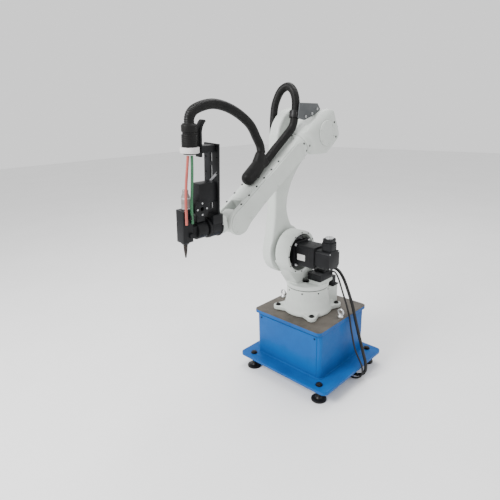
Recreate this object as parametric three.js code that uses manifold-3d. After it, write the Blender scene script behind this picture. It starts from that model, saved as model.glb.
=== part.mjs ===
// Six-axis articulated arc-welding robot on a fabricated pedestal with levelling feet.
// Millimetres, +Z up, +X is the way the arm reaches, +Y is the side of the shoulder motor.
// The origin is on the floor, on the vertical axis that the whole arm turns about (joint 1).
import * as THREE from 'three';
import { mergeVertices } from 'three/addons/utils/BufferGeometryUtils.js';
import Module from 'manifold-3d';

const wasm = await Module();
wasm.setup();

// ---- Driving dimensions -------------------------------------------------------------------------

const GAP = 0.3; // between touching pieces

// Pedestal: a welded steel box between a base plate and a machined top plate.
const PLATE_TOP = 90; // base plate, top face above the floor
const PLATE = { x: 592, y: 626, thick: 15, cx: -17, cy: 17, corner: 32 };
const FOOT = { halfX: 247, halfY: 240, padRadius: 42, padHeight: 16, stud: 10, top: 104 };
const BOX = { x: 434, y: 458, wall: 8, cx: -22, cy: 7, corner: 22 };
const TOP_PLATE = { x: 474, y: 468, thick: 20, corner: 26 };
const DECK = 381; // top face of the top plate
const EYE = { radius: 22, hole: 11, thick: 12, lift: 30 };

// Robot base: a flared casting held by four bolts.
const BOLT = { half: 120, seat: 18, shank: 8, head: 13, headHeight: 14 };
const BASE = { flange: 26, footRadius: 142, neckRadius: 118, bore: 92, top: 530 };
const REAR_BOX = { back: -196, halfWidth: 82, top: 496 };

// Turret, turning about the vertical axis.
const TURRET = { ringRadius: 121, ringTop: 556, motorSeat: 18 };

// Shoulder (joint 2), elbow (joint 3) and wrist centre (joint 5), in the plane y = 0.
const SHOULDER = { x: 96, z: 754 };
const ELBOW = { x: 0, z: 1342 };
const WRIST = { x: 576, z: 1020 };
const BARREL = { radius: 119, opening: 101, inner: -60, outer: 30 };
const ARM = { near: -80.5, far: -146, hub: 133, head: 160, front: 184, back: 84, waist: 992 };
const MOTOR = { half: 58, length: 150, start: -20, encoder: 48, encoderLength: 86 };

// Forearm: its long axis (joint 4) drops towards the wrist.
const FOREARM_RISE = 39; // distance of the forearm axis above the elbow axis
const PIVOTS_APART = Math.hypot(WRIST.x - ELBOW.x, ELBOW.z - WRIST.z);
const FOREARM_REACH = Math.sqrt(PIVOTS_APART ** 2 - FOREARM_RISE ** 2);
const PIVOT_SLOPE = Math.atan2(ELBOW.z - WRIST.z, WRIST.x - ELBOW.x);
const FOREARM_TILT = PIVOT_SLOPE + Math.asin(FOREARM_RISE / PIVOTS_APART);
const ELBOW_TILT = 0.46427; // of the elbow casting's own flat faces
const ELBOW_BOX = { back: -184, front: 90, width: 152, middle: -2, noseRadius: 66 };
const COLLAR = { start: 100, length: 22, radius: 64 };
const FOREARM = { half: 58, fork: 32, cheek: 57, top: 55, cover: 6 };
const SWING = { neck: 66, neckEnd: 126, radius: 79, start: 200, end: 226, boxStart: 272, boxRadius: 105 };
const BELT = { inner: 18, outer: 20.5 }; // radius round the pulleys

// Tool: everything that the wrist flange carries, leaning a little about the flange axis.
// Heights in the tool are measured from the flange axis.
const TOOL_LEAN = THREE.MathUtils.degToRad(-4);
const WRIST_NOSE = { radius: 44, face: 656 };
const SENSOR = { start: 664.3, end: 732, radius: 44 };
const ADAPTER = { end: 790, radius: 38 };
const BRACKET = { x: 686, half: 44, middle: -8, low: 60, high: 348, sheet: 9, saddle: 20 };
const TORCH = { x: 836, half: 25, low: -36, high: 98, tip: -108 };
const CONNECTOR = { x: 800, radius: 31, low: 318, high: 430 };

// Dress hose and cables.
const HOSE = 20.5; // radius
const HOSE_LINE = -184; // Y of the hose beside the upper arm
const HOSE_RUN = 76; // and its X
const POWER_CABLE = 9; // radius
const SIGNAL_CABLE = 5; // radius
const POWER_COIL = { x: -452, y: -300, inner: 72, outer: 126, height: 37, plug: { half: 45, y: -201 } };
const SIGNAL_COIL = { x: -250, y: -366, inner: 40, outer: 70, height: 41, plug: { half: 32, y: -421 } };

// ---- Colours and finishes -----------------------------------------------------------------------

const finish = (color, roughness, metalness = 0) =>
  new THREE.MeshStandardMaterial({ color, roughness, metalness });

const WHITE = finish(0xdfe3de, 0.45);
const BLUE = finish(0x1f6da8, 0.5);
const BARE_STEEL = finish(0x6d675c, 0.6, 0.7);
const ZINC = finish(0xa9abad, 0.4, 0.9);
const BLACK_OXIDE = finish(0x26272b, 0.5, 0.6);
const BLACK_PAINT = finish(0x25272b, 0.5);
const GREY_PAINT = finish(0x5d6466, 0.5);
const RUBBER = finish(0x1b1c1c, 0.65);
const CAST_IRON = finish(0x77797a, 0.6, 0.8);
const CLAMP_GREY = finish(0xc9c6c6, 0.5);
const BARREL_GREY = finish(0x9a9690, 0.45, 0.6);
const COPPER = finish(0x2a2523, 0.4, 0.7);
const RED = finish(0xa34f4a, 0.5);
const GREEN = finish(0x3c6a4a, 0.5);

// ---- Geometry helpers ---------------------------------------------------------------------------

const vec = (x, y, z) => new THREE.Vector3(x, y, z);

/** A closed manifold solid from a closed geometry. */
function solid(geometry) {
  const bare = geometry.clone();
  bare.deleteAttribute('normal');
  bare.deleteAttribute('uv');
  const merged = mergeVertices(bare, 1e-3);
  const corners = merged.index.array;
  const kept = [];
  for (let i = 0; i < corners.length; i += 3) {
    const [a, b, c] = [corners[i], corners[i + 1], corners[i + 2]];
    if (a !== b && b !== c && c !== a) {
      kept.push(a, b, c);
    }
  }
  const vertProperties = Float32Array.from(merged.attributes.position.array);
  const triVerts = Uint32Array.from(kept);
  return new wasm.Manifold(new wasm.Mesh({ numProp: 3, vertProperties, triVerts }));
}

/** A geometry from a manifold solid, with flat-shaded normals. */
function geometryOf(body) {
  const made = body.getMesh();
  const geometry = new THREE.BufferGeometry();
  geometry.setAttribute('position', new THREE.BufferAttribute(Float32Array.from(made.vertProperties), 3));
  geometry.setIndex(new THREE.BufferAttribute(Uint32Array.from(made.triVerts), 1));
  geometry.computeVertexNormals();
  return geometry;
}

const join = (...bodies) => bodies.reduce((sum, body) => sum.add(body));
const cut = (body, ...tools) => tools.reduce((rest, tool) => rest.subtract(tool), body);

/** Turns a geometry whose length is along +Y so that it runs from one point to another. */
function aim(geometry, from, to) {
  const direction = to.clone().sub(from).normalize();
  geometry.applyQuaternion(new THREE.Quaternion().setFromUnitVectors(vec(0, 1, 0), direction));
  return geometry.translate(from.x, from.y, from.z);
}

/** A round bar between two points, tapered if the end radius differs. */
function rod(from, to, radius, sides = 24, endRadius = radius) {
  const length = from.distanceTo(to);
  const bar = new THREE.CylinderGeometry(endRadius, radius, length, sides);
  return solid(aim(bar.translate(0, length / 2, 0), from, to));
}

/** A turned piece: its profile lists [radius, distance along the axis] and ends on the axis. */
function turned(profile, from, direction, sides = 32) {
  const points = profile.map(([radius, along]) => new THREE.Vector2(radius, along));
  const shape = new THREE.LatheGeometry(points, sides);
  return solid(aim(shape, from, from.clone().add(direction)));
}

const block = (low, high) => {
  const size = vec(...high).sub(vec(...low));
  const middle = vec(...high).add(vec(...low)).multiplyScalar(0.5);
  const shape = new THREE.BoxGeometry(size.x, size.y, size.z);
  return solid(shape.translate(middle.x, middle.y, middle.z));
};

/** A rectangle with rounded corners. */
function roundedRectangle(width, height, corner, cx = 0, cy = 0) {
  const [w, h] = [width / 2 - corner, height / 2 - corner];
  const shape = new THREE.Shape();
  shape.absarc(cx + w, cy + h, corner, 0, Math.PI / 2);
  shape.absarc(cx - w, cy + h, corner, Math.PI / 2, Math.PI);
  shape.absarc(cx - w, cy - h, corner, Math.PI, 1.5 * Math.PI);
  shape.absarc(cx + w, cy - h, corner, 1.5 * Math.PI, 2 * Math.PI);
  return shape;
}

/** An outline drawn in X and Y, between two heights. */
function slabZ(shape, low, high, curveSegments = 5, bevel = 0) {
  const settings = { depth: high - low - 2 * bevel, curveSegments, bevelEnabled: bevel > 0 };
  Object.assign(settings, { bevelSize: bevel, bevelThickness: bevel, bevelOffset: -bevel });
  settings.bevelSegments = 2;
  return solid(new THREE.ExtrudeGeometry(shape, settings).translate(0, 0, low + bevel));
}

/** An outline drawn in X and Z, between two values of Y. */
function slabY(shape, low, high, curveSegments = 6, bevel = 0) {
  const settings = { depth: high - low - 2 * bevel, curveSegments, bevelEnabled: bevel > 0 };
  Object.assign(settings, { bevelSize: bevel, bevelThickness: bevel, bevelOffset: -bevel });
  settings.bevelSegments = 2;
  const made = new THREE.ExtrudeGeometry(shape, settings);
  return solid(made.rotateX(Math.PI / 2).translate(0, high - bevel, 0));
}

/** An outline drawn in Y and Z, between two values of X. */
function slabX(shape, low, high, curveSegments = 5, bevel = 0) {
  const settings = { depth: high - low - 2 * bevel, curveSegments, bevelEnabled: bevel > 0 };
  Object.assign(settings, { bevelSize: bevel, bevelThickness: bevel, bevelOffset: -bevel });
  settings.bevelSegments = 2;
  const turn = new THREE.Matrix4().makeBasis(vec(0, 1, 0), vec(0, 0, 1), vec(1, 0, 0));
  const made = new THREE.ExtrudeGeometry(shape, settings).applyMatrix4(turn);
  return solid(made.translate(low + bevel, 0, 0));
}

/** A hose or cable of round section along a smooth curve through points. */
function tube(points, radius, steps, sides = 10) {
  const section = new THREE.Shape();
  section.absarc(0, 0, radius, 0, 2 * Math.PI);
  const extrudePath = new THREE.CatmullRomCurve3(points.map((p) => vec(...p)), false, 'centripetal');
  const settings = { steps, extrudePath, curveSegments: sides, bevelEnabled: false };
  return solid(new THREE.ExtrudeGeometry(section, settings));
}

/** Adds a named piece to a group. */
function piece(group, name, body, material) {
  const mesh = new THREE.Mesh(geometryOf(body), material);
  mesh.name = name;
  group.add(mesh);
}

// ---- Pedestal -----------------------------------------------------------------------------------

const CORNERS = [[1, 1], [1, -1], [-1, -1], [-1, 1]];

function levellingFeet(group) {
  CORNERS.forEach(([sx, sy], index) => {
    const at = vec(PLATE.cx + sx * FOOT.halfX, PLATE.cy + sy * FOOT.halfY, 0);
    const under = PLATE_TOP - PLATE.thick - GAP;
    const foot = turned(
      [[0, 0], [FOOT.padRadius, 0], [FOOT.padRadius, 9], [18, FOOT.padHeight], [FOOT.stud, 22],
        [FOOT.stud, under - 16], [17, under - 16], [17, under], [FOOT.stud, under],
        [FOOT.stud, FOOT.top], [0, FOOT.top]],
      at, vec(0, 0, 1), 20,
    );
    piece(group, `levelling_foot_${index + 1}`, foot, BLACK_OXIDE);
  });
}

function basePlate(group) {
  const outline = roundedRectangle(PLATE.x, PLATE.y, PLATE.corner, PLATE.cx, PLATE.cy);
  const holes = CORNERS.map(([sx, sy]) => {
    const [x, y] = [PLATE.cx + sx * FOOT.halfX, PLATE.cy + sy * FOOT.halfY];
    return rod(vec(x, y, 60), vec(x, y, 100), FOOT.stud + 1, 20);
  });
  const plate = slabZ(outline, PLATE_TOP - PLATE.thick, PLATE_TOP);
  piece(group, 'base_plate', cut(plate, ...holes), BLUE);
}

function pedestalBox(group) {
  const outline = roundedRectangle(BOX.x, BOX.y, BOX.corner, BOX.cx, BOX.cy);
  const inside = roundedRectangle(
    BOX.x - 2 * BOX.wall, BOX.y - 2 * BOX.wall, BOX.corner - BOX.wall, BOX.cx, BOX.cy,
  );
  const [low, high] = [PLATE_TOP + GAP, DECK - TOP_PLATE.thick - GAP];
  const walls = cut(slabZ(outline, low, high), slabZ(inside, low - 1, high + 1));
  piece(group, 'pedestal_box', walls, BLUE);
  const front = BOX.cx + BOX.x / 2;
  const cover = slabX(
    roundedRectangle(BOX.y - 48, high - low - 34, 8, BOX.cy, (low + high) / 2),
    front + GAP, front + 3,
  );
  piece(group, 'pedestal_front_cover', cover, BLUE);
}

function topPlate(group) {
  const outline = roundedRectangle(TOP_PLATE.x, TOP_PLATE.y, TOP_PLATE.corner, BOX.cx, BOX.cy);
  const plate = slabZ(outline, DECK - TOP_PLATE.thick, DECK);
  const holes = CORNERS.map(([sx, sy]) => {
    const [x, y] = [sx * BOLT.half, sy * BOLT.half];
    return rod(vec(x, y, DECK - 30), vec(x, y, DECK + 5), BOLT.shank + GAP, 16);
  });
  const cableHole = rod(vec(0, 0, DECK - 30), vec(0, 0, DECK + 5), 60, 24);
  piece(group, 'top_plate', cut(plate, ...holes, cableHole), BARE_STEEL);
}

function liftingEyes(group) {
  for (const [name, side] of [['left', 1], ['right', -1]]) {
    const y = BOX.cy + side * (TOP_PLATE.y / 2 - 26);
    const ring = rod(
      vec(BOX.cx - EYE.thick / 2, y, DECK + EYE.lift), vec(BOX.cx + EYE.thick / 2, y, DECK + EYE.lift),
      EYE.radius, 20,
    );
    const hole = rod(
      vec(BOX.cx - EYE.thick, y, DECK + EYE.lift), vec(BOX.cx + EYE.thick, y, DECK + EYE.lift),
      EYE.hole, 16,
    );
    const collar = rod(vec(BOX.cx, y, DECK + GAP), vec(BOX.cx, y, DECK + 14), 17, 20);
    piece(group, `lifting_eye_${name}`, cut(join(ring, collar), hole), ZINC);
  }
}

// ---- Robot base ---------------------------------------------------------------------------------

function robotBase(group) {
  const low = DECK + GAP;
  const ears = CORNERS.map(([sx, sy]) => {
    const angle = Math.atan2(sy, sx);
    const along = new THREE.Vector2(Math.cos(angle), Math.sin(angle));
    const across = new THREE.Vector2(-along.y, along.x);
    const at = (out, side) => along.clone().multiplyScalar(out).addScaledVector(across, side);
    const bolt = at(BOLT.half * Math.SQRT2, 0);
    const shape = new THREE.Shape();
    shape.absarc(bolt.x, bolt.y, 27, angle - Math.PI / 2, angle + Math.PI / 2);
    for (const corner of [at(118, 54), at(60, 70), at(60, -70), at(118, -54)]) {
      shape.lineTo(corner.x, corner.y);
    }
    return slabZ(shape, low, low + BASE.flange, 5);
  });
  const flare = turned(
    [[0, low], [BASE.footRadius, low], [BASE.footRadius, low + 12], [132, low + 34],
      [BASE.neckRadius + 2, low + 84], [BASE.neckRadius, BASE.top], [0, BASE.top]],
    vec(0, 0, 0), vec(0, 0, 1), 36,
  );
  const rear = slabZ(
    roundedRectangle(-REAR_BOX.back, 2 * REAR_BOX.halfWidth, 12, REAR_BOX.back / 2, 0), low, REAR_BOX.top,
  );
  const seat = rod(vec(0, 0, BASE.top - 70), vec(0, 0, BASE.top + 1), BASE.bore, 32);
  const shaft = rod(vec(0, 0, low - 1), vec(0, 0, BASE.top), 56, 24);
  const conduit = block([REAR_BOX.back + 14, -50, low + 22], [-20, 50, low + 76]);
  const bolts = CORNERS.map(([sx, sy]) => {
    const [x, y] = [sx * BOLT.half, sy * BOLT.half];
    return rod(vec(x, y, low - 1), vec(x, y, low + 60), BOLT.shank + GAP, 16);
  });
  const spotFaces = CORNERS.map(([sx, sy]) => {
    const [x, y] = [sx * BOLT.half, sy * BOLT.half];
    return rod(vec(x, y, low + BOLT.seat), vec(x, y, low + 80), BOLT.head + 3, 20);
  });
  const body = cut(join(flare, rear, ...ears), seat, shaft, conduit, ...bolts, ...spotFaces);
  piece(group, 'robot_base', body, WHITE);
}

function baseBolts(group) {
  const seat = DECK + GAP + BOLT.seat + GAP;
  CORNERS.forEach(([sx, sy], index) => {
    const at = vec(sx * BOLT.half, sy * BOLT.half, seat);
    const { shank, head, headHeight } = BOLT;
    const body = turned(
      [[0, -38], [shank, -38], [shank, 0], [head, 0], [head, headHeight], [7, headHeight],
        [7, headHeight - 8], [0, headHeight - 8]],
      at, vec(0, 0, 1), 16,
    );
    piece(group, `base_bolt_${index + 1}`, body, BLACK_OXIDE);
  });
}

function baseConnections(group) {
  const seat = REAR_BOX.top + GAP;
  const flange = slabZ(roundedRectangle(60, 128, 6, -160, 26), seat, seat + 6);
  const hood = slabZ(roundedRectangle(46, 96, 10, -162, 26), seat + 5, seat + 52, 3);
  piece(group, 'harness_plug', join(flange, hood), BLACK_PAINT);
}

function j1Reducer(group) {
  const bottom = BASE.top - 70 + GAP;
  const body = turned(
    [[40, bottom], [BASE.bore - 1, bottom], [BASE.bore - 1, BASE.top - 4], [40, BASE.top - 4], [40, bottom]],
    vec(0, 0, 0), vec(0, 0, 1), 32,
  );
  piece(group, 'j1_reducer', body, CAST_IRON);
}

// ---- Turret -------------------------------------------------------------------------------------

function turretCasting(group) {
  const low = BASE.top + 2;
  const ring = rod(vec(0, 0, low), vec(0, 0, TURRET.ringTop), TURRET.ringRadius, 36);
  const barrel = rod(
    vec(SHOULDER.x, BARREL.inner, SHOULDER.z), vec(SHOULDER.x, BARREL.outer, SHOULDER.z), BARREL.radius, 36,
  );
  const neckOutline = new THREE.Shape();
  neckOutline.moveTo(-78, TURRET.ringTop - 20);
  neckOutline.lineTo(78, TURRET.ringTop - 20);
  neckOutline.lineTo(SHOULDER.x + 106, SHOULDER.z - 44);
  neckOutline.lineTo(SHOULDER.x, SHOULDER.z);
  neckOutline.lineTo(SHOULDER.x - 116, SHOULDER.z - 26);
  const neck = slabY(neckOutline, -92, BARREL.outer - 34, 4);
  const hoseGland = rod(vec(-20, -56, 682), vec(-44, -56, 682), 27, 20);
  const clearArm = rod(
    vec(SHOULDER.x, -200, SHOULDER.z), vec(SHOULDER.x, BARREL.inner - 20, SHOULDER.z), ARM.hub + 6, 36,
  );
  const opening = rod(
    vec(SHOULDER.x, BARREL.outer - 62, SHOULDER.z), vec(SHOULDER.x, BARREL.outer + 1, SHOULDER.z),
    BARREL.opening, 36,
  );
  const bore = rod(vec(SHOULDER.x, -120, SHOULDER.z), vec(SHOULDER.x, 60, SHOULDER.z), 62, 24);
  const centre = rod(vec(0, 0, low - 1), vec(0, 0, low + 38), 40, 24);
  const motorSeat = slabZ(
    roundedRectangle(128, 88, 8, -36, 62), TURRET.ringTop - 4, TURRET.ringTop + TURRET.motorSeat, 3,
  );
  const body = join(ring, neck, hoseGland, barrel, motorSeat);
  piece(group, 'turret_casting', cut(body, clearArm, opening, bore, centre), WHITE);
}

function j1Motor(group) {
  const low = TURRET.ringTop + TURRET.motorSeat + GAP;
  const body = slabZ(roundedRectangle(128, 88, 8, -36, 62), low, low + 40, 3);
  const cap = slabZ(roundedRectangle(70, 70, 8, -56, 62), low + 30, low + 60, 3);
  piece(group, 'j1_motor', join(body, cap), BLACK_PAINT);
}

function j2Drive(group) {
  const { x, z } = SHOULDER;
  const reducer = turned(
    [[22, -76], [60, -76], [60, -31.6], [98, -31.6], [98, -21], [22, -21], [22, -76]],
    vec(x, 0, z), vec(0, 1, 0), 28,
  );
  piece(group, 'j2_reducer', reducer, CAST_IRON);
  const body = slabY(
    roundedRectangle(2 * MOTOR.half, 2 * MOTOR.half, 14, x, z), MOTOR.start, MOTOR.length, 3,
  );
  const encoder = slabY(
    roundedRectangle(2 * MOTOR.encoder, 2 * MOTOR.encoder, 20, x, z),
    MOTOR.length - 5, MOTOR.length + MOTOR.encoderLength, 3,
  );
  piece(group, 'j2_motor', join(body, encoder), BLACK_PAINT);
  const plugY = MOTOR.length + 54;
  const plugLow = z + MOTOR.encoder + GAP;
  const plug = slabZ(roundedRectangle(60, 60, 12, x, plugY), plugLow, plugLow + 70, 3);
  piece(group, 'j2_motor_plug', plug, BLACK_PAINT);
}

// ---- Upper arm ----------------------------------------------------------------------------------

function upperArmOutline() {
  const shape = new THREE.Shape();
  const { x, z } = SHOULDER;
  shape.absarc(x, z, ARM.hub, Math.PI - 0.3, 2 * Math.PI + 0.12);
  shape.quadraticCurveTo(ARM.front + 8, ARM.waist - 90, ARM.front, ARM.waist);
  shape.quadraticCurveTo(ARM.front - 4, ARM.waist + 180, ELBOW.x + ARM.head, ELBOW.z + 30);
  shape.absarc(ELBOW.x, ELBOW.z, ARM.head, 0.19, Math.PI + 0.35);
  shape.quadraticCurveTo(ARM.back - 16, ARM.waist + 170, ARM.back, ARM.waist);
  shape.quadraticCurveTo(ARM.back - 6, ARM.waist - 100, x - ARM.hub * 0.955, z + ARM.hub * 0.2955);
  return shape;
}

function upperArm(group) {
  const plate = slabY(upperArmOutline(), ARM.far, ARM.near, 8, 12);
  const hub = rod(
    vec(SHOULDER.x, ARM.far + 20, SHOULDER.z), vec(SHOULDER.x, BARREL.inner - 20.4, SHOULDER.z), 134, 36,
  );
  const shoulderBore = rod(
    vec(SHOULDER.x, ARM.far - 1, SHOULDER.z), vec(SHOULDER.x, 0, SHOULDER.z), 61, 24,
  );
  const elbowBore = rod(vec(ELBOW.x, ARM.far - 1, ELBOW.z), vec(ELBOW.x, 0, ELBOW.z), 61, 24);
  piece(group, 'upper_arm_casting', cut(join(plate, hub), shoulderBore, elbowBore), WHITE);
  for (const [name, { x, z }] of [['shoulder_cap', SHOULDER], ['elbow_cap', ELBOW]]) {
    const outside = ARM.far - GAP;
    const body = turned(
      [[0, 0], [96, 0], [96, 5], [84, 14], [0, 16]],
      vec(x, outside, z), vec(0, -1, 0), 28,
    );
    piece(group, name, body, WHITE);
  }
  const clip = slabX(roundedRectangle(62, 64, 8, ARM.far - 32 - GAP, 0), 52, 100, 3);
  const passage = rod(vec(0, HOSE_LINE, 0), vec(200, HOSE_LINE, 0), HOSE + 1.2, 20);
  const turn = cut(clip, passage).rotate([0, -90, 0]).translate([HOSE_RUN, 0, 940]);
  piece(group, 'arm_hose_clip', turn, BLACK_PAINT);
}

// ---- Elbow and forearm, drawn along the forearm axis ----------------------------------------------

/** A point on the forearm axis, in the elbow casting's frame. */
function onForearmAxis(along) {
  const turn = FOREARM_TILT - ELBOW_TILT;
  const [c, s] = [Math.cos(turn), Math.sin(turn)];
  return vec(FOREARM_RISE * s + along * c, 0, FOREARM_RISE * c - along * s);
}

function elbowHousing(group) {
  const { front, back, width, middle, noseRadius } = ELBOW_BOX;
  const side = new THREE.Shape();
  side.moveTo(front - 4, -36);
  side.lineTo(front - 4, 86);
  side.quadraticCurveTo(46, 102, -37, 102.4);
  side.absarc(-78, -2, 112, 1.2, Math.PI * 0.92);
  side.quadraticCurveTo(-190, -40, -132, -71);
  side.lineTo(-26, -96);
  const plan = roundedRectangle(front - back, width, 46, (front + back) / 2, middle);
  const end = roundedRectangle(width, 226, 52, middle, -2);
  const box = slabY(side, -90, 90, 8)
    .intersect(slabZ(plan, -300, 300, 5))
    .intersect(slabX(end, -300, 300, 5));
  const nose = rod(onForearmAxis(10), onForearmAxis(COLLAR.start), noseRadius, 36);
  const axleSeat = rod(vec(0, -90, 0), vec(0, -40, 0), 60, 24);
  const motorRoom = block([-146, -40, -48], [50, 50, 76]);
  const rearDoor = block([-230, -36, -16], [-140, 36, 52]);
  const sideDoor = rod(vec(-52, 40, 6), vec(-52, 90, 6), 52, 28);
  piece(group, 'elbow_housing', cut(join(box, nose), axleSeat, motorRoom, rearDoor, sideDoor), WHITE);

  const sideCover = turned(
    [[0, 0], [64, 0], [64, 3], [60, 6], [0, 7]],
    vec(-52, middle + width / 2 + GAP, 6), vec(0, 1, 0), 32,
  );
  piece(group, 'elbow_side_cover', sideCover, WHITE);
  const reducer = turned(
    [[20, -102], [59, -102], [59, -40.5], [20, -40.5], [20, -102]], vec(0, 0, 0), vec(0, 1, 0), 28,
  );
  piece(group, 'j3_reducer', reducer, CAST_IRON);
  const motor = slabY(roundedRectangle(76, 76, 8, 0, 0), -38, 44, 3);
  piece(group, 'j3_motor', motor, BLACK_PAINT);
  const rollMotor = slabX(roundedRectangle(60, 60, 8, 0, 42), -140, -50, 3);
  piece(group, 'j4_motor', rollMotor, BLACK_PAINT);
}

function hoseMount(group) {
  const outline = new THREE.Shape();
  outline.moveTo(32, 215);
  [[-96, 147], [-104, 110.4], [-44, 110.4], [36, 126], [75, 157]].forEach((at) => outline.lineTo(...at));
  const foot = block([-104, -20, 110.4], [-52, 28, 115.4]);
  piece(group, 'hose_plate', join(slabY(outline, 27, 32), foot), GREY_PAINT);
}

function elbowHoseClamp(group) {
  const [low, high] = [vec(129, 0, 1450), vec(121, -2, 1482)];
  const band = rod(low, high, HOSE + 6, 20);
  const past = high.clone().sub(low);
  const inside = rod(low.clone().sub(past), high.clone().add(past), HOSE + 2, 20);
  const lug = block([108, 12, 1458], [140, 26.6, 1476]);
  piece(group, 'elbow_hose_clamp', cut(join(band, lug), inside), ZINC);
}

// Forearm frame: origin on the forearm axis nearest to the elbow axis, +X towards the wrist.
/** What the forearm keeps within, so that it can roll inside the elbow's nose. */
function forearmEnvelope(end) {
  const { neck, neckEnd, radius, start, end: swingEnd, boxStart, boxRadius } = SWING;
  const profile = [[0, 0], [neck, 0], [neck, neckEnd], [radius, start], [radius, swingEnd],
    [boxRadius, boxStart], [boxRadius, end], [0, end]];
  return turned(profile, vec(0, 0, 0), vec(1, 0, 0), 40);
}

/** The side view of the forearm from a start to the round wrist end, drawn smaller by an inset. */
function forearmSide(start, inset) {
  const shape = new THREE.Shape();
  shape.moveTo(start, -50 + inset);
  shape.lineTo(Math.max(start + 20, 200), -38 + inset);
  shape.lineTo(500, -39 + inset);
  shape.lineTo(612, -46 + inset);
  shape.absarc(FOREARM_REACH, 0, FOREARM.cheek - inset, -0.58 * Math.PI, Math.PI / 2);
  shape.lineTo(FOREARM_REACH - 60, FOREARM.top - inset);
  shape.lineTo(start, FOREARM.top - inset);
  return shape;
}

function forearmPieces(group) {
  const reach = FOREARM_REACH;
  const { half, fork: forkHalf, cover } = FOREARM;
  const start = COLLAR.start + COLLAR.length;
  const collar = rod(vec(COLLAR.start + GAP, 0, 0), vec(start, 0, 0), COLLAR.radius, 32);
  const section = roundedRectangle(2 * half, 2 * 60, 16, 0, -3);
  const beam = slabY(forearmSide(start - 1, 0), -half, half, 8)
    .intersect(slabX(section, 0, reach + 100, 4))
    .intersect(forearmEnvelope(reach + 100));
  const fork = block([reach - 80, -forkHalf, -100], [reach + 100, forkHalf, 100]);
  const pivot = rod(vec(reach, -half - 1, 0), vec(reach, half + 1, 0), 22, 24);
  const motorRoom = block([start + 40, -22, -28], [start + 220, half + 10, 28]);
  const beltRun = slabY(
    roundedRectangle(reach - start - 114, 56, 27.9, (reach + start + 170) / 2, 0),
    half - 20, half + 10, 5,
  );
  const body = cut(join(collar, beam), fork, pivot, motorRoom, beltRun);
  piece(group, 'forearm_casting', body, WHITE);
  const low = half + GAP;
  piece(group, 'forearm_cover', slabY(forearmSide(start + 26, 5), low, low + cover, 8), WHITE);

  const motor = slabX(roundedRectangle(40, 46, 6, 8, 0), start + 60, start + 190, 3);
  const shaft = rod(vec(start + 170, 28, 0), vec(start + 170, half - 8, 0), 8, 16);
  const pulley = rod(vec(start + 170, half - 17, 0), vec(start + 170, half - 5, 0), BELT.inner - GAP, 24);
  piece(group, 'j5_motor', join(motor, shaft, pulley), BLACK_PAINT);
  wristBelt(group, start + 170, reach);
}

/** The toothed belt that turns the wrist, under the forearm cover. */
function wristBelt(group, motorX, wristX) {
  const loop = (radius) => {
    const shape = new THREE.Shape();
    shape.absarc(wristX, 0, radius, -Math.PI / 2, Math.PI / 2);
    shape.absarc(motorX, 0, radius, Math.PI / 2, 1.5 * Math.PI);
    return shape;
  };
  const [low, high] = [FOREARM.half - 17, FOREARM.half - 5];
  const outside = slabY(loop(BELT.outer), low, high);
  piece(group, 'j5_belt', cut(outside, slabY(loop(BELT.inner), low - 1, high + 1)), RUBBER);
}

/** The flexible sleeve on top of the forearm that the dress hose turns back in. */
function hoseBoot(group) {
  const [bend, bottom] = [vec(392, 4, 94), vec(468, 4, 89)];
  const end = solid(new THREE.SphereGeometry(33, 16, 10).translate(bottom.x, bottom.y, bottom.z));
  const knee = solid(new THREE.SphereGeometry(33, 16, 10).translate(bend.x, bend.y, bend.z));
  const neck = rod(bend, vec(338, 2, 130), 32, 16, 24);
  const socket = rod(vec(339, 8, 87), bend, 27, 16);
  const foot = rod(vec(420, 5, FOREARM.top + GAP), vec(420, 5, 80), 15, 16);
  piece(group, 'hose_boot', join(rod(bend, bottom, 33, 20), end, knee, neck, socket, foot), RUBBER);
}

// ---- Wrist and tool ------------------------------------------------------------------------------

function wristPieces(group) {
  const { x, z } = WRIST;
  const drum = rod(vec(x, -FOREARM.fork + 1, z), vec(x, FOREARM.fork - 1, z), 52, 32);
  const pivot = rod(vec(x, -FOREARM.half, z), vec(x, FOREARM.half - 21, z), 21, 24);
  const drive = rod(vec(x, FOREARM.half - 24, z), vec(x, FOREARM.half - 5, z), 17, 24);
  const nose = rod(vec(x, 0, z), vec(WRIST_NOSE.face, 0, z), FOREARM.fork - 1, 32);
  const rim = rod(vec(x + FOREARM.cheek + 2, 0, z), vec(WRIST_NOSE.face, 0, z), WRIST_NOSE.radius, 32);
  piece(group, 'wrist_housing', join(drum, pivot, drive, nose, rim), WHITE);
}

/** A turned piece about the flange axis, from its [radius, X] profile. */
const aboutFlange = (profile, sides = 32) => turned(profile, vec(0, 0, 0), vec(1, 0, 0), sides);

function toolMounting(group) {
  const face = WRIST_NOSE.face + GAP;
  piece(group, 'tool_flange', aboutFlange([[0, face], [45, face], [45, 664], [0, 664]]), WHITE);
  const { start, end, radius } = SENSOR;
  const sensor = aboutFlange([[0, start], [48, start], [48, start + 7], [radius, start + 7],
    [radius, end - 3], [radius - 3, end], [0, end]]);
  piece(group, 'collision_sensor', sensor, BLACK_PAINT);
  const adapter = aboutFlange([[0, end + GAP], [32, end + GAP], [32, end + 6],
    [ADAPTER.radius, end + 9], [ADAPTER.radius, ADAPTER.end - 3], [ADAPTER.radius - 3, ADAPTER.end],
    [0, ADAPTER.end]]);
  const arm = block([ADAPTER.end - 10, -20, -24], [TORCH.x - TORCH.half - GAP, 20, 24]);
  piece(group, 'torch_adapter', join(adapter, arm), BLACK_PAINT);
}

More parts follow.
